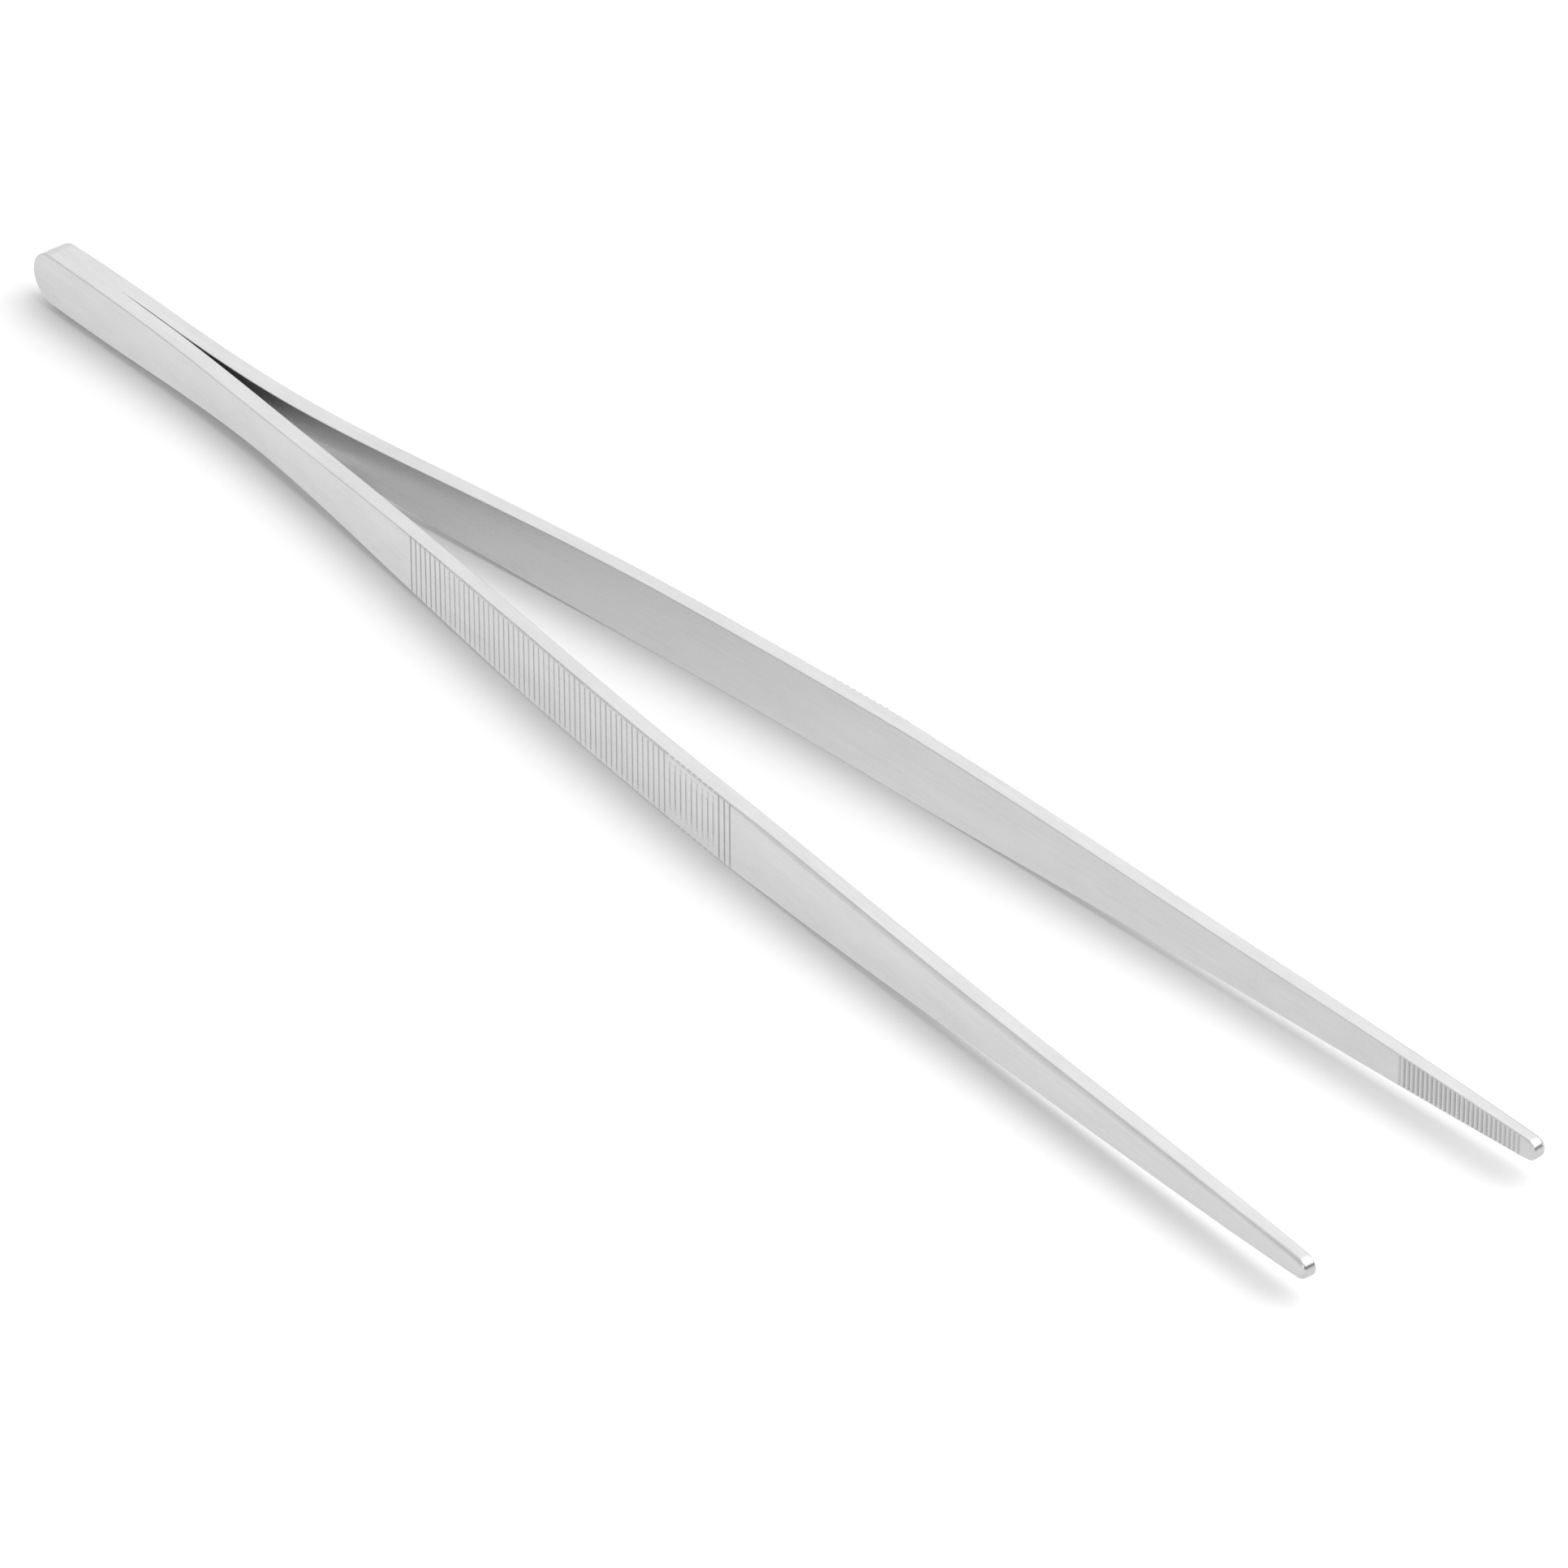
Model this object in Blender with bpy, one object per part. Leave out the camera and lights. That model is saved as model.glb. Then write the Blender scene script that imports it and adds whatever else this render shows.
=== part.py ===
"""Long straight aquascaping tweezers: two mirrored spring-steel arms, welded together at the tail.

The tweezers lie on their side. +X runs from the tail to the tips, +Y is to the left of that, +Z is up,
and the origin is on the resting surface, under the middle of the tweezers. Along the length, every
station is a distance from the tail end. The left arm is on the +Y side.

Each arm is two solids, a heel and a blade, that meet at the waist where the strip flexes.
"""

import math

import bmesh
import bpy
import numpy as np
from mathutils import Matrix, Vector

MM = 0.001

# Driving dimensions, in millimetres
LENGTH = 300.0
GRIP_WIDTH = 10.8
TAIL_RADIUS = 4.15
NOSE_RADIUS = 1.6

# Smooth curves along the length, each through (station, value)
HALF_GAP = [(25.5, 0.0), (51.5, 0.82), (81.3, 3.67), (126, 8.93), (175.5, 13.15), (225, 15.8)]
HALF_GAP += [(300, 19.1)]
THICKNESS = [(0, 2.4), (50, 2.7), (80, 2.55), (120, 2.4), (180, 2.55), (240, 2.75), (300, 2.15)]
WIDTH = [(0, 8.3), (21.5, 8.2), (56.5, 6.5), (86.3, 8.5), (126, 10.8), (151, 11.1), (180.5, 10.75)]
WIDTH += [(240, 6.9), (270, 5.35), (300, 3.2)]
EDGE_BEVEL = [(0, 0.2), (90, 0.25), (125, 0.4), (180, 0.5), (240, 0.75), (300, 0.65)]

# Weld at the tail
WELD_LENGTH = 19.0
WELD_HALF_THICKNESS = 0.5
CLEARANCE = 0.3

# Waist, where each arm flexes about an upright axis
FLEX_STATION = 55.0

# Cross grooves of the grip, on the outer faces
GRIP_START = 96.9
GRIP_PITCH = 1.289
GRIP_GROOVES = 63
GRIP_GROOVE_WIDTH = 0.5
GRIP_GROOVE_DEPTH = 0.22

# Serrations of the jaws, on the inner faces
JAW_START = 274.65
JAW_PITCH = 0.849
JAW_GROOVES = 27
JAW_GROOVE_WIDTH = 0.5
JAW_GROOVE_DEPTH = 0.22

# Mesh spacing
HEEL_STEP = 4.0
BLADE_STEP = 6.0
ARC_STEPS = 7
ARC_FIRST_ANGLE = math.radians(14)

# Middles of the round ends, whose last sliver is cut flat
TAIL_CENTRE = TAIL_RADIUS * math.cos(ARC_FIRST_ANGLE)
NOSE_CENTRE = LENGTH - NOSE_RADIUS * math.cos(ARC_FIRST_ANGLE)

STEEL_COLOUR = (0.62, 0.62, 0.622, 1.0)
WELD_COLOUR = (0.61, 0.61, 0.61, 1.0)


def smooth_curve(points, start_slope=None):
    """Returns a function: the natural cubic spline through the points, or clamped to a slope at its start."""
    x, y = np.array(points, float).T
    h = np.diff(x)
    count = len(x)
    rows = np.eye(count)
    right = np.zeros(count)
    if start_slope is not None:
        rows[0, :2] = 2 * h[0], h[0]
        right[0] = 6 * ((y[1] - y[0]) / h[0] - start_slope)
    for i in range(1, count - 1):
        rows[i, i - 1 : i + 2] = h[i - 1], 2 * (h[i - 1] + h[i]), h[i]
        right[i] = 6 * ((y[i + 1] - y[i]) / h[i] - (y[i] - y[i - 1]) / h[i - 1])
    bend = np.linalg.solve(rows, right)

    def value(station):
        i = int(np.clip(np.searchsorted(x, station) - 1, 0, count - 2))
        a = (x[i + 1] - station) / h[i]
        b = (station - x[i]) / h[i]
        curved = ((a**3 - a) * bend[i] + (b**3 - b) * bend[i + 1]) * h[i] ** 2 / 6
        return float(a * y[i] + b * y[i + 1] + curved)

    return value


half_gap_curve = smooth_curve(HALF_GAP, start_slope=0.0)
thickness = smooth_curve(THICKNESS)
width = smooth_curve(WIDTH)
edge_bevel = smooth_curve(EDGE_BEVEL)


def inner_face(station):
    """Distance of the inner face from the middle plane: zero where the arms touch."""
    return half_gap_curve(max(station, HALF_GAP[0][0]))


def outward_normal(station):
    """Direction (along X, away from the middle plane) that the strip's thickness is measured in."""
    step = 0.01
    slope = (inner_face(station + step) - inner_face(station - step)) / (2 * step)
    size = math.hypot(1.0, slope)
    return -slope / size, 1.0 / size


def half_width(station):
    """Half the height of the strip: round at the tail and at the nose, straight along the grip's edges."""
    from_tail = TAIL_CENTRE - station
    from_nose = station - NOSE_CENTRE
    if from_tail > 0:
        return math.sqrt(max(TAIL_RADIUS**2 - from_tail**2, 0.0))
    if from_nose > 0:
        return math.sqrt(max(NOSE_RADIUS**2 - from_nose**2, 0.0))
    return min(width(station), GRIP_WIDTH) / 2


def end_stations(radius):
    """Distances from a round end that follow its arc."""
    angles = np.linspace(ARC_FIRST_ANGLE, math.pi / 2, ARC_STEPS)
    return [radius * (math.cos(ARC_FIRST_ANGLE) - math.cos(angle)) for angle in angles]


def even_stations(start, end, step):
    """Evenly spaced stations from start to end."""
    return list(np.linspace(start, end, round((end - start) / step) + 1))


def groove_stations(start, pitch, count, groove_width):
    """The stations of each groove's two lips and its root."""
    middles = [start + i * pitch for i in range(count)]
    return [m + offset for m in middles for offset in (-groove_width / 2, 0.0, groove_width / 2)]


def groove_roots(start, pitch, count):
    """The stations of the grooves' roots, rounded for comparing."""
    return {round(start + i * pitch, 4) for i in range(count)}


GRIP_ROOTS = groove_roots(GRIP_START, GRIP_PITCH, GRIP_GROOVES)
JAW_ROOTS = groove_roots(JAW_START, JAW_PITCH, JAW_GROOVES)


def merge_stations(fixed, extra, spacing):
    """All the fixed stations, and each extra one that is not close to a fixed one."""
    kept = [s for s in extra if min(abs(s - f) for f in fixed) > spacing]
    return sorted(fixed + kept)


def section(station, side, inner):
    """The six corners of an arm's section, in metres; inner is the inner face's distance from the middle plane."""
    normal_x, normal_y = outward_normal(station)
    base_y = inner_face(station)
    outer = thickness(station)
    half = half_width(station)
    bevel = min(edge_bevel(station), half / 2)
    near = round(station, 4)
    groove = GRIP_GROOVE_DEPTH if near in GRIP_ROOTS else 0.0
    notch = JAW_GROOVE_DEPTH if near in JAW_ROOTS else 0.0
    start = max(inner - base_y, 0.0) + notch
    corners = [
        (start, -half),
        (start, half),
        (outer - bevel, half),
        (outer - groove, half - bevel),
        (outer - groove, bevel - half),
        (outer - bevel, -half),
    ]
    points = []
    for depth, height in corners:
        along = station + normal_x * depth - LENGTH / 2
        across = side * (base_y + normal_y * depth)
        points.append(Vector((along, across, height + GRIP_WIDTH / 2)) * MM)
    return points


def loft(name, sections, material):
    """A closed solid through the sections, with a flat cap at each end."""
    mesh = bmesh.new()
    rings = [[mesh.verts.new(point) for point in points] for points in sections]
    count = len(rings[0])
    for first, second in zip(rings, rings[1:]):
        for i in range(count):
            j = (i + 1) % count
            mesh.faces.new((first[i], first[j], second[j], second[i]))
    mesh.faces.new(rings[0])
    mesh.faces.new(rings[-1])
    bmesh.ops.recalc_face_normals(mesh, faces=mesh.faces)
    data = bpy.data.meshes.new(name)
    mesh.to_mesh(data)
    mesh.free()
    data.materials.append(material)
    data.shade_smooth()
    data.set_sharp_from_angle(angle=math.radians(30))
    solid = bpy.data.objects.new(name, data)
    bpy.context.scene.collection.objects.link(solid)
    return solid


def steel(name, colour, roughness):
    """Ground or brushed stainless steel."""
    material = bpy.data.materials.new(name)
    material.use_nodes = True
    shader = material.node_tree.nodes["Principled BSDF"]
    shader.inputs["Base Color"].default_value = colour
    shader.inputs["Metallic"].default_value = 1.0
    shader.inputs["Roughness"].default_value = roughness
    return material


def clear_scene():
    for thing in list(bpy.data.objects):
        bpy.data.objects.remove(thing)


def flex_axis(side, name):
    """An empty on the upright axis that one arm flexes about, in the middle of the strip's thickness."""
    normal_x, normal_y = outward_normal(FLEX_STATION)
    middle = thickness(FLEX_STATION) / 2
    along = FLEX_STATION + normal_x * middle - LENGTH / 2
    across = side * (inner_face(FLEX_STATION) + normal_y * middle)
    empty = bpy.data.objects.new(name, None)
    empty.location = Vector((along, across, GRIP_WIDTH / 2)) * MM
    bpy.context.scene.collection.objects.link(empty)
    return empty


def hang_on(solid, empty):
    """Moves the solid's origin onto the empty and parents it there, leaving the shape where it is."""
    solid.data.transform(Matrix.Translation(-empty.location))
    solid.parent = empty


def heel(side, name, material):
    """The welded end of an arm: set back around the weld, then a hair's breadth from the other arm."""
    weld_step = WELD_LENGTH + CLEARANCE
    set_back = WELD_HALF_THICKNESS + CLEARANCE
    touching = CLEARANCE / 2
    step_length = set_back - touching
    in_weld = end_stations(TAIL_RADIUS) + even_stations(TAIL_RADIUS + HEEL_STEP, weld_step, HEEL_STEP)
    end = FLEX_STATION - CLEARANCE / 2
    past_weld = even_stations(weld_step + step_length, end, HEEL_STEP)
    sections = [section(s, side, set_back) for s in in_weld]
    sections += [section(s, side, touching) for s in past_weld]
    return loft(name, sections, material)


def blade(side, name, material):
    """The moving end of an arm: flexing waist, grooved grip, taper and serrated jaw."""
    start = FLEX_STATION + CLEARANCE / 2
    grip = groove_stations(GRIP_START, GRIP_PITCH, GRIP_GROOVES, GRIP_GROOVE_WIDTH)
    jaw = groove_stations(JAW_START, JAW_PITCH, JAW_GROOVES, JAW_GROOVE_WIDTH)
    nose = [LENGTH - distance for distance in end_stations(NOSE_RADIUS)]
    fixed = [start] + grip + jaw + [s for s in nose if s > jaw[-1] + 0.05]
    plain = even_stations(start, LENGTH - NOSE_RADIUS, BLADE_STEP)
    stations = merge_stations(fixed, plain, GRIP_PITCH)
    sections = [section(s, side, 0.0) for s in stations]
    return loft(name, sections, material)


def weld(name, material):
    """The filler between the two heels, ground flush with their edges and their round end."""
    straight = even_stations(TAIL_RADIUS, WELD_LENGTH, HEEL_STEP)
    stations = end_stations(TAIL_RADIUS)[:-1] + straight
    sections = []
    for station in stations:
        half = half_width(station)
        along = station - LENGTH / 2
        corners = [(-1, -1), (-1, 1), (1, 1), (1, -1)]
        points = [(along, y * WELD_HALF_THICKNESS, z * half + GRIP_WIDTH / 2) for y, z in corners]
        sections.append([Vector(point) * MM for point in points])
    return loft(name, sections, material)


def main():
    clear_scene()
    arm_steel = steel("arm_steel", STEEL_COLOUR, 0.38)
    weld_steel = steel("weld_steel", WELD_COLOUR, 0.42)
    for side, arm in ((1, "left_arm"), (-1, "right_arm")):
        axis = flex_axis(side, arm + "_flex_axis")
        heel(side, arm + "_heel", arm_steel)
        hang_on(blade(side, arm + "_blade", arm_steel), axis)
    weld("tail_weld", weld_steel)


main()
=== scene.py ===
"""Looks of the aquascaping tweezers: two brushed spring-steel arms and the weld that joins their tails.

Shapes are worked out in millimetres. A station is a distance from the tail end along the tweezers. On
an arm, height is measured from the middle of the strip's width, and depth outwards from its inner face.
Each arm is one closed skin: an inner face, an outer face, and a rim that runs round the strip's outline.
"""

import math

import bmesh
import bpy
import numpy as np
from mathutils import Matrix, Vector


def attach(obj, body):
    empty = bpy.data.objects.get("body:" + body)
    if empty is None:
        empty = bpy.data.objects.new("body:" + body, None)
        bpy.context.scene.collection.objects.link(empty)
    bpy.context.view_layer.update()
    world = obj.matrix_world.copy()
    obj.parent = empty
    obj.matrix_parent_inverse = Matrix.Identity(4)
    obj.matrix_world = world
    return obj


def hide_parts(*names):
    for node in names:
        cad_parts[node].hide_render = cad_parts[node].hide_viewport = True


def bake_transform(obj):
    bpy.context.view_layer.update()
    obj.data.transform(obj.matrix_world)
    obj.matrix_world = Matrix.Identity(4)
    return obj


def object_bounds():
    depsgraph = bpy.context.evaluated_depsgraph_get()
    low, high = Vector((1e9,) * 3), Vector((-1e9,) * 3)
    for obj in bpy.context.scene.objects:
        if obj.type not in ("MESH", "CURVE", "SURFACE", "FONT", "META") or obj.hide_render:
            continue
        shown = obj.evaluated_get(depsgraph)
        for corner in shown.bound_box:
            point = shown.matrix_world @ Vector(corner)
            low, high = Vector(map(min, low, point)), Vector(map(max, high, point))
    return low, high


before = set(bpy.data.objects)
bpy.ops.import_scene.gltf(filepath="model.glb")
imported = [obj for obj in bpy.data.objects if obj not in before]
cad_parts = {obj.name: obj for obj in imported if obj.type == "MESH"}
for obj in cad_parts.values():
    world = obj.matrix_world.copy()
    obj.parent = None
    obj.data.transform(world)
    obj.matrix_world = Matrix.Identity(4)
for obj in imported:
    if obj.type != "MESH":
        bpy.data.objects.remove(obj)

cad_low, cad_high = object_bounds()

MM = 0.001
LENGTH = (cad_high.x - cad_low.x) / MM
GRIP_WIDTH = (cad_high.z - cad_low.z) / MM
MIDDLE_HEIGHT = (cad_low.z + cad_high.z) / 2 / MM
TAIL_END = cad_low.x / MM

# The strip, as smooth curves through (station, value)
HALF_GAP = [(25.5, 0.0), (51.5, 0.82), (81.3, 3.67), (126, 8.93), (175.5, 13.15), (225, 15.8)]
HALF_GAP += [(LENGTH, 19.1)]
THICKNESS = [(0, 2.4), (50, 2.7), (80, 2.55), (120, 2.4), (180, 2.55), (240, 2.75), (LENGTH, 2.15)]
WIDTH = [(0, 8.3), (21.5, 8.2), (56.5, 6.5), (86.3, 8.5), (126, 10.8), (151, 11.1), (180.5, 10.75)]
WIDTH += [(240, 6.9), (270, 5.35), (LENGTH, 3.2)]
TAIL_RADIUS = 4.15
NOSE_RADIUS = 1.6

# The outer long edges: a small eased edge at the tail, then a bevel that widens and softens to the tip
BEVEL_DEPTH = [(0, 0.34), (10, 0.26), (60, 0.18), (90, 0.2), (104, 0.32), (176, 0.36), (184, 0.44)]
BEVEL_DEPTH += [(240, 0.64), (285, 0.62), (LENGTH, 0.8)]
BEVEL_HEIGHT = [(0, 0.34), (10, 0.26), (60, 0.2), (90, 0.24), (104, 0.42), (176, 0.46), (184, 0.6)]
BEVEL_HEIGHT += [(240, 0.88), (265, 1.0), (285, 0.92), (LENGTH, 0.8)]
# 2 is a round edge, and 1 would be a flat facet
BEVEL_POWER = [(0, 2.0), (176, 2.0), (184, 1.22), (240, 1.3), (268, 1.6), (285, 2.0), (LENGTH, 2.0)]
INNER_EASE = [(0, 0.02), (19, 0.02), (24, 0.08), (40, 0.12), (285, 0.14), (LENGTH, 0.3)]

# The weld between the tails
WELD_LENGTH = 19.0
WELD_HALF_THICKNESS = 0.5
WELD_OVERLAP = 0.02
WELD_SINK = 0.004
WELD_MARGINS = (0.6, 0.7)
WELD_END_COLUMNS = (-0.05, 0.0, 0.05, 0.1)
WELD_END_SLACK = 0.02
SEAM = 0.05
SEAM_OPENS = 5.0
SEAM_NARROWEST = 0.1

# Waist that flexes on the real tweezers: its ends, in stations; points there are worked out, but nothing
# bends
FLEX_START = 35.0
FLEX_END = 75.0

# Rolled grooves of the grip, on the outer faces
GRIP_START = 96.9
GRIP_PITCH = 1.289
GRIP_GROOVES = 63
GRIP_HALF_WIDTH = 0.23
GRIP_DEPTH = 0.34
GRIP_WALL = 0.07
GRIP_MARGINS = (0.7, 0.8)
LAND_CROWN = 0.03
# The first and last grooves are full and cut the edges; the rest vary, and the late ones stop short
CRISP_FIRST = 7
CRISP_LAST = 3
SOFT_STRENGTH = 0.86
SOFT_VARIATION = 0.04
SOFT_RHYTHM = 2.3
CRISP_REACH = -1.0
SOFT_REACH = -0.25
LATE_REACH = 0.5
REACH_VARIATION = 0.12
REACH_RHYTHM = 5.1
GROOVE_RUN_OUT = 0.5
GROOVE_FADE = 0.35
# Beads on the bevel, beside the late grooves
BEADS = 12
BEAD_HALF_WIDTH = 0.2
BEAD_HEIGHT = 0.13
BEAD_SPREAD = 0.22
# Painted shade on the bevel: how much darker its steel is painted, by station
BEVEL_PAINTED_SHADE = [(0, 0.03), (40, 0.04), (90, 0.06), (104, 0.09), (172, 0.09), (182, 0.0), (LENGTH, 0.0)]
# The mesh attribute that carries the painted shade of the bevel and of the serrations' floors
PAINTED_SHADE_MAP = "painted_shade"

# Serrations of the jaws, on the inner faces
JAW_START = 274.65
JAW_PITCH = 0.849
JAW_GROOVES = 27
JAW_DEPTH = 0.3
# Painted shade in the serrations: how much their floors are darkened at full notch depth
JAW_GROOVE_SHADE = 0.26
JAW_LEAD = 0.5
JAW_DEEPENING = 0.62
JAW_FIRST_STRENGTH = 0.45
JAW_FADE = 0.55
JAW_MARGIN = 0.12
JAW_RUN_OUT = 0.25

# The finish; the grain map holds millimetres along the grain and across it
GRAIN_MAP = "grain"
FACE_MAP_SHIFT = 40.0
RIM_MAP_SHIFT = 20.0
SCRATCH_SCALE = (0.35, 9.0)
STREAK_SCALE = (0.05, 1.6)
MOTTLING_SCALE = (0.11, 0.3)
GRIT_SCALE = (3.0, 12.0)
RELIEF = {"scratches": 0.5, "grit": 0.25, "mottling": 0.7}
RELIEF_STRENGTH = 0.35
RELIEF_HEIGHT = 0.006
ARM_COLOUR = (0.62, 0.62, 0.622)
ARM_ROUGHNESS = 0.3
WELD_COLOUR = (0.61, 0.61, 0.61)
WELD_ROUGHNESS = 0.32

# The studio, in metres; the sky's levels go by a direction's height, from straight down to straight up
FLOOR_COLOUR = (0.73, 0.73, 0.73)
FLOOR_REACH = 12.0
FLOOR_GAP = 0.00005
SKY_STRENGTH = 2.0
SKY = [(-1.0, 1.05), (-0.1, 1.05), (0.05, 0.98), (0.3, 0.98), (0.5, 1.04), (1.0, 1.08)]
SKY_LEAN = 0.45
SKY_LEAN_HEIGHTS = (0.3, 0.55)
# A dark flag, low beyond the tips
FLAG_HEIGHT = 0.28
FLAG_HALF = 0.2
FLAG_SOFTNESS = 0.4
FLAG_AHEAD = (0.45, 0.7)
FLAG_DEPTH = 0.9
SOFTBOXES = [
    ("key_softbox", (0.6, 0.42, 1.25), 1.4, 17.0),
    ("fill_softbox", (0.75, -0.95, 0.42), 0.4, 0.8),
]
# What steel mirrors of the floor: dimmer between the arms where they are close, and beside their feet
GLOW_LEVEL = "level"
GLOW_REACH = 300.0
GLOW_COLUMNS = 61
GLOW_BETWEEN = [(0, 0.25), (40, 0.3), (60, 0.42), (75, 0.6), (92, 0.72), (110, 0.8), (130, 0.86)]
GLOW_BETWEEN += [(150, 0.92), (175, 1.0), (LENGTH, 1.02)]
GLOW_OUTSIDE = [(0, 0.95), (4, 0.99), (9, 1.12), (20, 1.1), (GLOW_REACH, 1.05)]

# The camera, in millimetres and degrees
CAMERA_AZIMUTH = 140.574
CAMERA_ELEVATION = 34.812
CAMERA_ROLL = -0.233
CAMERA_DISTANCE = 1586.7
CAMERA_ALONG = 0.74
CAMERA_ASIDE = -11.755
CAMERA_ABOVE = 10.0
CAMERA_LENS = 264.45


def curve(points, level_start=False):
    """A function of the station: a cubic spline through the points, constant before the first one.

    With level_start it leaves the first point level; otherwise its ends are free.
    """
    x, y = np.array(points, float).T
    h = np.diff(x)
    count = len(x)
    rows = np.eye(count)
    right = np.zeros(count)
    for i in range(1, count - 1):
        rows[i, i - 1 : i + 2] = h[i - 1], 2 * (h[i - 1] + h[i]), h[i]
        right[i] = 6 * ((y[i + 1] - y[i]) / h[i] - (y[i] - y[i - 1]) / h[i - 1])
    if level_start:
        rows[0, :2] = 2 * h[0], h[0]
        right[0] = 6 * (y[1] - y[0]) / h[0]
    bend = np.linalg.solve(rows, right)

    def value(station):
        s = np.clip(station, x[0], None)
        i = np.clip(np.searchsorted(x, s) - 1, 0, count - 2)
        a = (x[i + 1] - s) / h[i]
        b = (s - x[i]) / h[i]
        curved = ((a**3 - a) * bend[i] + (b**3 - b) * bend[i + 1]) * h[i] ** 2 / 6
        return a * y[i] + b * y[i + 1] + curved

    return value


def steps(points):
    """A function of the station that goes straight from point to point."""
    x, y = np.array(points, float).T
    return lambda station: np.interp(station, x, y)


half_gap = curve(HALF_GAP, level_start=True)
thickness = curve(THICKNESS)
width = curve(WIDTH)
bevel_depth = steps(BEVEL_DEPTH)
bevel_height = steps(BEVEL_HEIGHT)
bevel_power = steps(BEVEL_POWER)
inner_ease = steps(INNER_EASE)
painted_shade = steps(BEVEL_PAINTED_SHADE)


def half_width(station):
    return np.minimum(width(station), GRIP_WIDTH) / 2


def smoothstep(x):
    t = np.clip(x, 0.0, 1.0)
    return t * t * (3 - 2 * t)


def in_world(station, depth, height, side):
    """Points in metres, from arrays of stations, depths and heights; side is 1 for the left arm."""
    step = 0.01
    slope = (half_gap(station + step) - half_gap(station - step)) / (2 * step)
    size = np.hypot(1.0, slope)
    along = TAIL_END + station - slope / size * depth
    across = side * (half_gap(station) + depth / size)
    return np.stack([along, across, MIDDLE_HEIGHT + height], axis=-1) * MM


# Columns: how finely the skin is divided along the tweezers
FAN_COLUMNS = 9
TAIL_FAN_END = 1.7 * TAIL_RADIUS
NOSE_FAN_START = LENGTH - 1.9 * NOSE_RADIUS
PLAIN_STEP = 1.2
GROOVE_OFFSETS = (-0.28, -0.23, -0.2, -0.17, -0.1, 0.0, 0.1, 0.17, 0.2, 0.23, 0.28, 0.44, 0.645, 0.85)
JAW_DIVISIONS = 8
# Rows of a face, as distances in from its long edges, then shares of what is left
EDGE_ROWS = (0.0, 0.06, 0.16, 0.3, 0.5)
MIDDLE_ROWS = (0.75, 0.5, 0.25)
# Rows of the rim
EASE_ANGLES = np.radians((0, 30, 60, 90))
RIM_SUPPORT = 0.06
RIM_SHARES = (0.33, 0.67)
BEVEL_STEPS = 9


def plain_columns(start, end):
    return list(np.linspace(start, end, max(2, round((end - start) / PLAIN_STEP) + 1)))


def column_stations():
    """The stations of the straight columns between the two round ends."""
    grip_end = GRIP_START + GRIP_PITCH * (GRIP_GROOVES - 1)
    jaw_end = NOSE_FAN_START
    grip = [GRIP_START + k * GRIP_PITCH + o for k in range(GRIP_GROOVES) for o in GROOVE_OFFSETS]
    grip = [s for s in grip if s <= grip_end + GRIP_PITCH / 4]
    jaw_step = JAW_PITCH / JAW_DIVISIONS
    jaw = list(np.arange(JAW_START - JAW_PITCH, jaw_end - jaw_step / 2, jaw_step))
    weld_step = [WELD_LENGTH + offset for offset in WELD_END_COLUMNS]
    found = plain_columns(TAIL_FAN_END, WELD_LENGTH - WELD_MARGINS[0]) + weld_step
    found += plain_columns(WELD_LENGTH + WELD_MARGINS[1], GRIP_START - GRIP_MARGINS[0]) + grip
    found += plain_columns(grip_end + GRIP_MARGINS[1], JAW_START - JAW_PITCH - JAW_LEAD)
    found += jaw + [jaw_end]
    return np.array(found)


STATIONS = column_stations()


def face_rows(half):
    """Heights of a face's rows, from its lower long edge to its upper one; half may be an array."""
    half = np.asarray(half, float)[..., None]
    edges = half - np.array(EDGE_ROWS)
    inner = (half - EDGE_ROWS[-1]) * np.array(MIDDLE_ROWS)
    upper = np.concatenate([edges, inner], axis=-1)
    return np.concatenate([-upper, 0 * half, upper[..., ::-1]], axis=-1)


def plan(inset):
    """Stations and heights of a face's grid, when its outline lies inset from the strip's outline."""
    tail_inset = inset(0.0)
    nose_inset = inset(LENGTH)
    shares = np.arange(FAN_COLUMNS)[:, None] / FAN_COLUMNS
    heights = face_rows(half_width(STATIONS) - inset(STATIONS))
    stations = np.repeat(STATIONS[:, None], heights.shape[1], axis=1)

    def fan(radius, centre, direction, meets):
        turn = face_rows(radius) / radius
        arc = (radius - (tail_inset if direction < 0 else nose_inset))
        along = centre + direction * arc * np.sqrt(np.maximum(1 - turn**2, 0))
        across = arc * turn
        return (
            (1 - shares) * along + shares * stations[meets],
            (1 - shares) * across + shares * heights[meets],
        )

    tail = fan(TAIL_RADIUS, TAIL_RADIUS, -1, 0)
    nose = fan(NOSE_RADIUS, LENGTH - NOSE_RADIUS, 1, -1)
    return (
        np.concatenate([tail[0], stations, nose[0][::-1]]),
        np.concatenate([tail[1], heights, nose[1][::-1]]),
    )


def no_inset(station):
    return 0.0 * station


def round_the_edge(grid):
    """A grid's outermost values, in one closed loop: top, nose, bottom, tail."""
    parts = [grid[:-1, -1], grid[-1, :0:-1], grid[:0:-1, 0], grid[0, :-1]]
    return np.concatenate(parts)


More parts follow.
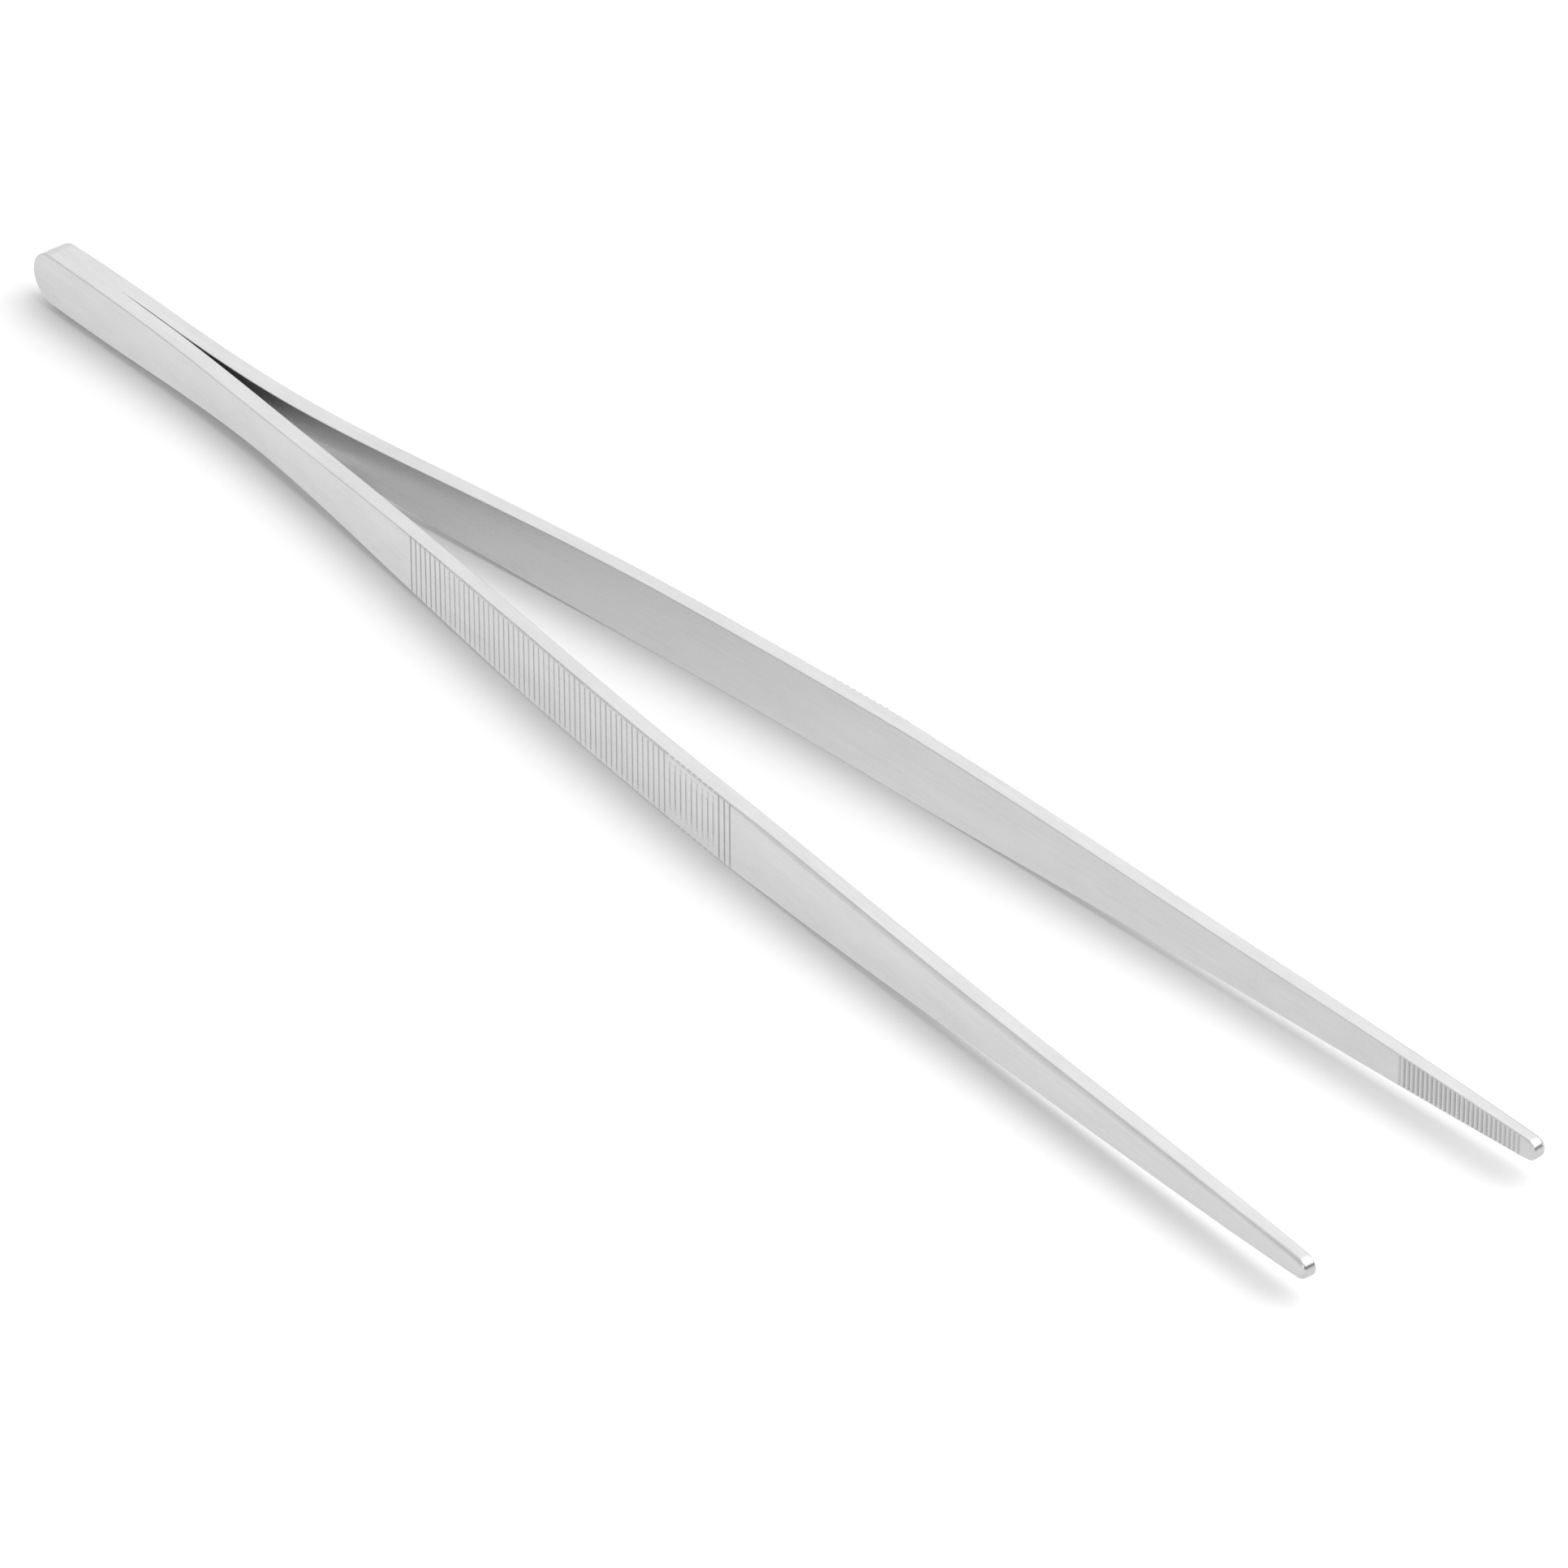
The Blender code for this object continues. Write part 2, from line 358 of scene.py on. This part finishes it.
def grip_groove(station, from_edge):
    """How deep the rolled grip lies below the smooth outer face, some way in from its long edge."""
    number = np.clip(np.round((station - GRIP_START) / GRIP_PITCH), 0, GRIP_GROOVES - 1)
    off = np.abs(station - GRIP_START - number * GRIP_PITCH)
    crisp = (number < CRISP_FIRST) | (number >= GRIP_GROOVES - CRISP_LAST)
    strength = np.where(crisp, 1.0, SOFT_STRENGTH + SOFT_VARIATION * np.sin(number * SOFT_RHYTHM))
    late = number >= GRIP_GROOVES - BEADS
    soft_reach = np.where(late, LATE_REACH, SOFT_REACH) + REACH_VARIATION * np.sin(number * REACH_RHYTHM)
    reach = np.where(crisp, CRISP_REACH, soft_reach)
    walls = smoothstep((GRIP_HALF_WIDTH - off) / GRIP_WALL)
    rolled = walls * smoothstep((from_edge - reach) / GROOVE_RUN_OUT)
    land = np.clip((off - GRIP_HALF_WIDTH) / (GRIP_PITCH / 2 - GRIP_HALF_WIDTH), 0, 1)
    last = GRIP_START + (GRIP_GROOVES - 1) * GRIP_PITCH
    inside = (station > GRIP_START - GRIP_HALF_WIDTH) & (station < last + GRIP_HALF_WIDTH)
    return np.where(inside, GRIP_DEPTH * strength * rolled + LAND_CROWN * (1 - land) ** 2, 0.0)


def edge_bead(station, share):
    """How far a small bead stands out of the bevel, at the end of each of the grip's last grooves."""
    nearest = np.round((station - GRIP_START) / GRIP_PITCH)
    number = np.clip(nearest, GRIP_GROOVES - BEADS, GRIP_GROOVES - 1)
    off = (station - GRIP_START - number * GRIP_PITCH) / BEAD_HALF_WIDTH
    return BEAD_HEIGHT * np.exp(-(off**2) - ((share - 0.5) / BEAD_SPREAD) ** 2)


def jaw_notch(station, height, half):
    """How deep the jaw's serrations lie below the smooth inner face."""
    number = np.clip(np.round((station - JAW_START) / JAW_PITCH), 0, JAW_GROOVES - 1)
    off = (station - JAW_START - number * JAW_PITCH) / JAW_PITCH
    wave = np.clip(0.5 + JAW_DEEPENING * np.cos(2 * np.pi * off), 0, 1)
    fading = 1.0 - JAW_FADE * (number / JAW_GROOVES) ** 2
    strength = np.where(number == 0, JAW_FIRST_STRENGTH, fading)
    ends = smoothstep((half - JAW_MARGIN - np.abs(height)) / JAW_RUN_OUT)
    return np.where(np.abs(off) < 0.5, JAW_DEPTH * wave * strength * ends, 0.0)


def inner_start(station):
    """Depth at which the arm's inner side begins: set back around the weld, then a hairline seam."""
    before = station < WELD_LENGTH + WELD_END_SLACK
    seam = SEAM * np.clip((station - WELD_LENGTH) / SEAM_OPENS, SEAM_NARROWEST, 1)
    return np.where(before, WELD_HALF_THICKNESS - WELD_OVERLAP, np.maximum(seam - half_gap(station), 0.0))


def bevel_profile(share, station):
    """Inset and depth of the outer edge's profile; share goes from 0 at the rim to 1 at the outer face."""
    power = 2 / bevel_power(station)
    angle = math.pi / 2 * share
    inset = bevel_height(station) * (1 - math.cos(angle) ** power)
    depth = thickness(station) - bevel_depth(station) * (1 - math.sin(angle) ** power)
    return inset, depth


def rim_rows():
    """For each row of the rim, from the inner face to the outer: inset, depth and share of the bevel."""
    rows = []

    def ease(angle):
        rows.append(
            (
                lambda s: inner_ease(s) * (1 - math.sin(angle)),
                lambda s: inner_start(s) + inner_ease(s) * (1 - math.cos(angle)),
                0.0,
            )
        )

    def flat(share):
        def depth(s):
            low = inner_start(s) + inner_ease(s) + RIM_SUPPORT
            high = thickness(s) - bevel_depth(s) - RIM_SUPPORT
            return low + (high - low) * share

        rows.append((no_inset, depth, 0.0))

    def bevel(share):
        rows.append((lambda s: bevel_profile(share, s)[0], lambda s: bevel_profile(share, s)[1], share))

    for angle in EASE_ANGLES:
        ease(angle)
    for share in (0.0, *RIM_SHARES, 1.0):
        flat(share)
    for share in np.linspace(0, 1, BEVEL_STEPS + 1):
        bevel(share)
    return rows


class Skin:
    """Collects points, each with its painted shade, and quads with a map coordinate along and across the
    grain.
    """

    def __init__(self):
        self.points = []
        self.painted_darkening = []
        self.count = 0
        self.quads = []
        self.maps = []

    def add_points(self, points, painted_darkening=0.0):
        flat = points.reshape(-1, 3)
        self.points.append(flat)
        self.painted_darkening.append(np.broadcast_to(painted_darkening, points.shape[:-1]).ravel())
        first = self.count
        self.count += len(flat)
        return np.arange(first, self.count).reshape(points.shape[:-1])

    def add_quads(self, numbers, along, across, flip=False):
        corners = [(0, 0), (1, 0), (1, 1), (0, 1)]
        if flip:
            corners.reverse()
        n, m = numbers.shape
        pick = [(slice(a, n - 1 + a), slice(b, m - 1 + b)) for a, b in corners]
        self.quads.append(np.stack([numbers[p] for p in pick], -1).reshape(-1, 4))
        where = np.stack([along, across], -1)
        self.maps.append(np.stack([where[p] for p in pick], -2).reshape(-1, 4, 2))

    def build(self, name, material):
        points = np.concatenate(self.points)
        quads = np.concatenate(self.quads)
        mesh = bpy.data.meshes.new(name)
        mesh.from_pydata(points.tolist(), [], quads.tolist())
        layer = mesh.uv_layers.new(name=GRAIN_MAP)
        layer.data.foreach_set("uv", np.concatenate(self.maps).astype(np.float32).ravel())
        painted_dark = mesh.attributes.new(PAINTED_SHADE_MAP, "FLOAT", "POINT")
        painted_dark.data.foreach_set("value", np.concatenate(self.painted_darkening).astype(np.float32))
        body = bmesh.new()
        body.from_mesh(mesh)
        bmesh.ops.recalc_face_normals(body, faces=body.faces)
        body.to_mesh(mesh)
        body.free()
        mesh.materials.append(material)
        mesh.shade_smooth()
        piece = bpy.data.objects.new(name, mesh)
        bpy.context.scene.collection.objects.link(piece)
        return piece


def closed(loop):
    """A loop's values with the first one again at the end."""
    return np.concatenate([loop, loop[:1]])


def arm_skin(side):
    """One arm: both faces, and the rim round the outline between them."""
    skin = Skin()
    rows = rim_rows()

    def face(row, outer):
        inset, depth, _ = row
        stations, heights = plan(inset)
        nominal = np.clip(stations, 0, LENGTH)
        if outer:
            sunk = grip_groove(nominal, half_width(nominal) - inset(nominal) - np.abs(heights))
            groove_shade = 0.0
        else:
            sunk = -jaw_notch(nominal, heights, half_width(nominal))
            # Painted shade: each serration's floor is darkened in step with its depth
            groove_shade = -sunk / JAW_DEPTH * JAW_GROOVE_SHADE
        points = in_world(stations, depth(nominal) - sunk, heights, side)
        numbers = skin.add_points(points, groove_shade)
        shift = FACE_MAP_SHIFT if outer else 0.0
        skin.add_quads(numbers, stations, heights + shift, flip=(side > 0) == outer)
        return numbers

    def rim_loop(inset, depth, share):
        stations, heights = (round_the_edge(grid) for grid in plan(inset))
        away = math.sin(math.pi / 2 * share)
        sink = grip_groove(stations, 0.0) * smoothstep((away - GROOVE_FADE) / (1 - GROOVE_FADE))
        bead = edge_bead(stations, share) if share > 0 else 0.0 * stations
        # Painted shade along the bevel: darkest in the bevel's middle, and left off the beads
        painted_darkening = painted_shade(stations) * 4 * share * (1 - share) * (1 - bead / BEAD_HEIGHT)
        depths = depth(stations) - sink + bead
        return skin.add_points(in_world(stations, depths, heights + np.sign(heights) * bead, side), painted_darkening)

    inner = round_the_edge(face(rows[0], False))
    outer = round_the_edge(face(rows[-1], True))
    loops = [inner, *(rim_loop(*row) for row in rows[1:-1]), outer]
    numbers = np.stack([closed(loop) for loop in loops], axis=1)
    outline, turn = (closed(round_the_edge(grid)) for grid in plan(no_inset))
    along = outline - np.where(outline < TAIL_RADIUS, np.abs(TAIL_RADIUS - np.abs(turn)), 0)
    along = np.repeat(along[:, None], len(loops), axis=1)
    depths = [closed(depth(round_the_edge(plan(inset)[0]))) for inset, depth, _ in rows]
    across = np.stack(depths, axis=1) + np.sign(turn)[:, None] * RIM_MAP_SHIFT
    skin.add_quads(numbers, along, across, flip=side > 0)
    return skin


def weld_piece(name, material):
    """The filler between the arms' tails, ground flush with their edges and their round end."""
    angles = np.linspace(-math.pi / 2, math.pi / 2, 33)
    radius = TAIL_RADIUS - WELD_SINK
    straight = np.linspace(TAIL_RADIUS, WELD_LENGTH, 16)[1:]
    edge = half_width(straight) - WELD_SINK
    stations = np.concatenate([straight[::-1], TAIL_RADIUS - radius * np.cos(angles), straight])
    heights = np.concatenate([-edge[::-1], radius * np.sin(angles), edge])
    mesh = bmesh.new()
    corners = [
        mesh.verts.new(Vector((TAIL_END + s, -WELD_HALF_THICKNESS, MIDDLE_HEIGHT + h)) * MM)
        for s, h in zip(stations, heights)
    ]
    side = mesh.faces.new(corners)
    across = Vector((0, 2 * WELD_HALF_THICKNESS * MM, 0))
    made = bmesh.ops.extrude_face_region(mesh, geom=[side], use_keep_orig=True)["geom"]
    bmesh.ops.translate(mesh, verts=[g for g in made if isinstance(g, bmesh.types.BMVert)], vec=across)
    bmesh.ops.recalc_face_normals(mesh, faces=mesh.faces)
    layer = mesh.loops.layers.uv.new(GRAIN_MAP)
    for face in mesh.faces:
        for corner in face.loops:
            place = corner.vert.co / MM
            corner[layer].uv = (place.x - TAIL_END, place.y + place.z)
    data = bpy.data.meshes.new(name)
    mesh.to_mesh(data)
    mesh.free()
    data.materials.append(material)
    data.shade_smooth()
    data.set_sharp_from_angle(angle=math.radians(30))
    piece = bpy.data.objects.new(name, data)
    bpy.context.scene.collection.objects.link(piece)
    return piece


class Nodes:
    """A short way to write a material's nodes."""

    def __init__(self, tree):
        self.tree = tree

    def add(self, kind, **settings):
        node = self.tree.nodes.new(kind)
        for key, value in settings.items():
            setattr(node, key, value)
        return node

    def link(self, source, target):
        self.tree.links.new(source, target)

    def stretched(self, source, scale):
        """The map coordinate, scaled along and across the grain."""
        node = self.add("ShaderNodeMapping")
        node.inputs["Scale"].default_value = (*scale, 1.0)
        self.link(source, node.inputs["Vector"])
        return node.outputs["Vector"]

    def noise(self, source, scale, detail=2.0, roughness=0.5):
        node = self.add("ShaderNodeTexNoise")
        node.inputs["Scale"].default_value = 1.0
        node.inputs["Detail"].default_value = detail
        node.inputs["Roughness"].default_value = roughness
        self.link(self.stretched(source, scale), node.inputs["Vector"])
        return node.outputs["Fac"]

    def ranged(self, value, low, high, to_low, to_high):
        node = self.add("ShaderNodeMapRange")
        node.inputs["From Min"].default_value = low
        node.inputs["From Max"].default_value = high
        node.inputs["To Min"].default_value = to_low
        node.inputs["To Max"].default_value = to_high
        self.link(value, node.inputs["Value"])
        return node.outputs["Result"]

    def spread(self, noise, half_range, amount):
        """A noise's values within half_range of its middle, taken to plus or minus the amount."""
        return self.ranged(noise, 0.5 - half_range, 0.5 + half_range, -amount, amount)

    def maths(self, operation, first, second):
        node = self.add("ShaderNodeMath", operation=operation)
        for socket, value in zip(node.inputs, (first, second)):
            if isinstance(value, (int, float)):
                socket.default_value = value
            else:
                self.link(value, socket)
        return node.outputs["Value"]


def brushed_steel(name, colour, roughness):
    """Satin stainless steel, brushed lengthwise: fine scratches, longer streaks and broad soft mottling."""
    material = bpy.data.materials.new(name)
    material.use_nodes = True
    shader = material.node_tree.nodes["Principled BSDF"]
    shader.inputs["Metallic"].default_value = 1.0
    nodes = Nodes(material.node_tree)
    grain = nodes.add("ShaderNodeUVMap", uv_map=GRAIN_MAP).outputs["UV"]
    scratches = nodes.noise(grain, SCRATCH_SCALE, detail=3.0, roughness=0.6)
    streaks = nodes.noise(grain, STREAK_SCALE, detail=2.0)
    mottling = nodes.noise(grain, MOTTLING_SCALE, detail=3.0, roughness=0.55)
    grit = nodes.noise(grain, GRIT_SCALE, detail=2.0, roughness=0.7)

    tone = nodes.maths("ADD", nodes.spread(mottling, 0.2, 0.022), nodes.spread(scratches, 0.25, 0.02))
    tone = nodes.maths("ADD", tone, nodes.spread(streaks, 0.2, 0.012))
    # Painted shade read from the mesh: the bevel band and the serrations' floors are darkened
    painted_dark = nodes.add("ShaderNodeAttribute", attribute_name=PAINTED_SHADE_MAP).outputs["Fac"]
    tone = nodes.maths("SUBTRACT", tone, painted_dark)
    grey = nodes.add("ShaderNodeCombineXYZ")
    for socket in grey.inputs:
        nodes.link(tone, socket)
    tinted = nodes.add("ShaderNodeVectorMath", operation="ADD")
    nodes.link(grey.outputs["Vector"], tinted.inputs[0])
    tinted.inputs[1].default_value = colour
    nodes.link(tinted.outputs["Vector"], shader.inputs["Base Color"])

    unevenness = nodes.maths("ADD", nodes.spread(scratches, 0.25, 0.05), nodes.spread(mottling, 0.2, 0.035))
    nodes.link(nodes.maths("ADD", unevenness, roughness), shader.inputs["Roughness"])

    relief = nodes.maths("MULTIPLY", scratches, RELIEF["scratches"])
    relief = nodes.maths("ADD", relief, nodes.maths("MULTIPLY", grit, RELIEF["grit"]))
    relief = nodes.maths("ADD", relief, nodes.maths("MULTIPLY", mottling, RELIEF["mottling"]))
    bump = nodes.add("ShaderNodeBump")
    bump.inputs["Strength"].default_value = RELIEF_STRENGTH
    bump.inputs["Distance"].default_value = RELIEF_HEIGHT * MM
    nodes.link(relief, bump.inputs["Height"])
    nodes.link(bump.outputs["Normal"], shader.inputs["Normal"])
    return material


def plain_paper(name):
    """The pale floor's matt white."""
    material = bpy.data.materials.new(name)
    material.use_nodes = True
    shader = material.node_tree.nodes["Principled BSDF"]
    shader.inputs["Base Color"].default_value = (*FLOOR_COLOUR, 1.0)
    shader.inputs["Roughness"].default_value = 0.9
    shader.inputs["Specular IOR Level"].default_value = 0.0
    return material


def lay_floor():
    """A wide plain floor, just under the tweezers."""
    data = bpy.data.meshes.new("floor")
    corners = [(-1, -1), (1, -1), (1, 1), (-1, 1)]
    points = [(x * FLOOR_REACH, y * FLOOR_REACH, cad_low.z - FLOOR_GAP) for x, y in corners]
    data.from_pydata(points, [], [(0, 1, 2, 3)])
    data.materials.append(plain_paper("floor_paper"))
    floor = bpy.data.objects.new("floor", data)
    bpy.context.scene.collection.objects.link(floor)
    floor.visible_glossy = False


def glowing(name):
    """Light given off at each point's own level."""
    material = bpy.data.materials.new(name)
    material.use_nodes = True
    nodes = Nodes(material.node_tree)
    level = nodes.add("ShaderNodeAttribute", attribute_name=GLOW_LEVEL).outputs["Fac"]
    glow = nodes.add("ShaderNodeEmission")
    nodes.link(level, glow.inputs["Strength"])
    nodes.link(glow.outputs["Emission"], material.node_tree.nodes["Material Output"].inputs["Surface"])
    return material


def lay_glow():
    """A sheet in the floor's place that only mirrored rays see, with the floor's soft shading on it."""
    beside = np.linspace(0, LENGTH, GLOW_COLUMNS)
    stations = np.concatenate([[-GLOW_REACH], beside, [LENGTH + GLOW_REACH]])
    arm = half_gap(stations) + thickness(np.clip(stations, 0, LENGTH)) / 2
    between = steps(GLOW_BETWEEN)(stations)
    rows = [(arm * share, between) for share in (0.0, 0.999)]
    for offset, level in GLOW_OUTSIDE:
        rows.append((arm + offset, np.full_like(arm, level)))
    rows = [(-y, level) for y, level in rows[:0:-1]] + rows
    across = np.stack([y for y, _ in rows])
    levels = np.stack([level for _, level in rows])
    along = np.broadcast_to(stations + TAIL_END, across.shape)
    height = np.full_like(across, cad_low.z - 2 * FLOOR_GAP)
    points = np.stack([along * MM, across * MM, height], -1)
    numbers = np.arange(across.size).reshape(across.shape)
    corners = (numbers[:-1, :-1], numbers[:-1, 1:], numbers[1:, 1:], numbers[1:, :-1])
    quads = np.stack(corners, -1).reshape(-1, 4)
    data = bpy.data.meshes.new("floor_glow")
    data.from_pydata(points.reshape(-1, 3).tolist(), [], quads.tolist())
    layer = data.attributes.new(GLOW_LEVEL, "FLOAT", "POINT")
    layer.data.foreach_set("value", levels.astype(np.float32).ravel())
    data.materials.append(glowing("floor_glow"))
    sheet = bpy.data.objects.new("floor_glow", data)
    sheet.visible_camera = False
    sheet.visible_diffuse = False
    sheet.visible_shadow = False
    bpy.context.scene.collection.objects.link(sheet)


def light_the_sky():
    """A studio's even surround, brighter high up on the left arm's side, darker low beyond the tips."""
    world = bpy.data.worlds.new("studio")
    bpy.context.scene.world = world
    world.use_nodes = True
    nodes = Nodes(world.node_tree)
    background = world.node_tree.nodes["Background"]
    direction = nodes.add("ShaderNodeTexCoord").outputs["Generated"]
    split = nodes.add("ShaderNodeSeparateXYZ")
    nodes.link(direction, split.inputs["Vector"])
    share = nodes.ranged(split.outputs["Z"], -1.0, 1.0, 0.0, 1.0)
    ramp = nodes.add("ShaderNodeValToRGB")
    ramp.color_ramp.interpolation = "EASE"
    stops = ramp.color_ramp.elements
    while len(stops) < len(SKY):
        stops.new(0.5)
    for stop, (height, level) in zip(stops, SKY):
        stop.position = (height + 1) / 2
        tone = level / SKY_STRENGTH
        stop.color = (tone, tone, tone, 1.0)
    nodes.link(share, ramp.inputs["Fac"])
    nodes.link(ramp.outputs["Color"], background.inputs["Color"])
    aside = nodes.maths("SUBTRACT", split.outputs["Z"], FLAG_HEIGHT)
    aside = nodes.maths("ABSOLUTE", aside, 0.0)
    flag_inside = FLAG_HALF * (1 - FLAG_SOFTNESS)
    flag_outside = FLAG_HALF * (1 + FLAG_SOFTNESS)
    low = nodes.ranged(aside, flag_inside, flag_outside, 1.0, 0.0)
    ahead = nodes.ranged(split.outputs["X"], *FLAG_AHEAD, 0.0, SKY_STRENGTH * FLAG_DEPTH)
    flag = nodes.maths("MULTIPLY", low, ahead)
    lean = nodes.ranged(split.outputs["Z"], *SKY_LEAN_HEIGHTS, 0.0, SKY_STRENGTH * SKY_LEAN)
    lean = nodes.maths("MULTIPLY", lean, split.outputs["Y"])
    level = nodes.maths("ADD", SKY_STRENGTH, lean)
    nodes.link(nodes.maths("SUBTRACT", level, flag), background.inputs["Strength"])


def hang_softbox(name, place, side, power):
    """A square area light that faces the tweezers."""
    data = bpy.data.lights.new(name, "AREA")
    data.shape = "SQUARE"
    data.size = side
    data.energy = power
    lamp = bpy.data.objects.new(name, data)
    lamp.location = place
    lamp.rotation_euler = (-Vector(place)).to_track_quat("-Z", "Y").to_euler()
    bpy.context.scene.collection.objects.link(lamp)


def place_camera():
    """A long lens, above and beside the tips, that looks back along the tweezers."""
    azimuth = math.radians(CAMERA_AZIMUTH)
    elevation = math.radians(CAMERA_ELEVATION)
    roll = math.radians(CAMERA_ROLL)
    level = math.cos(elevation)
    ahead = Vector((level * math.cos(azimuth), level * math.sin(azimuth), -math.sin(elevation)))
    right = ahead.cross(Vector((0, 0, 1))).normalized()
    up = right.cross(ahead)
    turned_right = math.cos(roll) * right + math.sin(roll) * up
    turned_up = math.cos(roll) * up - math.sin(roll) * right
    aim = Vector((CAMERA_ALONG, 0, MIDDLE_HEIGHT)) - CAMERA_ASIDE * turned_right - CAMERA_ABOVE * turned_up
    data = bpy.data.cameras.new("camera")
    data.sensor_width = 36.0
    data.lens = CAMERA_LENS
    camera = bpy.data.objects.new("camera", data)
    pose = Matrix((turned_right, turned_up, -ahead)).transposed().to_4x4()
    pose.translation = (aim - CAMERA_DISTANCE * ahead) * MM
    camera.matrix_world = pose
    bpy.context.scene.collection.objects.link(camera)
    bpy.context.scene.camera = camera


def main():
    place_camera()
    lay_floor()
    lay_glow()
    light_the_sky()
    for softbox in SOFTBOXES:
        hang_softbox(*softbox)
    bpy.context.scene.view_settings.view_transform = "Standard"
    arm_steel = brushed_steel("arm_brushed_steel", ARM_COLOUR, ARM_ROUGHNESS)
    weld_steel = brushed_steel("weld_brushed_steel", WELD_COLOUR, WELD_ROUGHNESS)
    for side, arm in ((1, "left_arm"), (-1, "right_arm")):
        piece = arm_skin(side).build(arm, arm_steel)
        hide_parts(arm + "_heel", arm + "_blade")
        start = in_world(np.array(FLEX_START), 0.0, 0.0, side)
        end = in_world(np.array(FLEX_END), 0.0, 0.0, side)
        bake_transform(piece)
    weld = weld_piece("tail_weld_bead", weld_steel)
    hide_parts("tail_weld")
    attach(weld, "tail")


main()
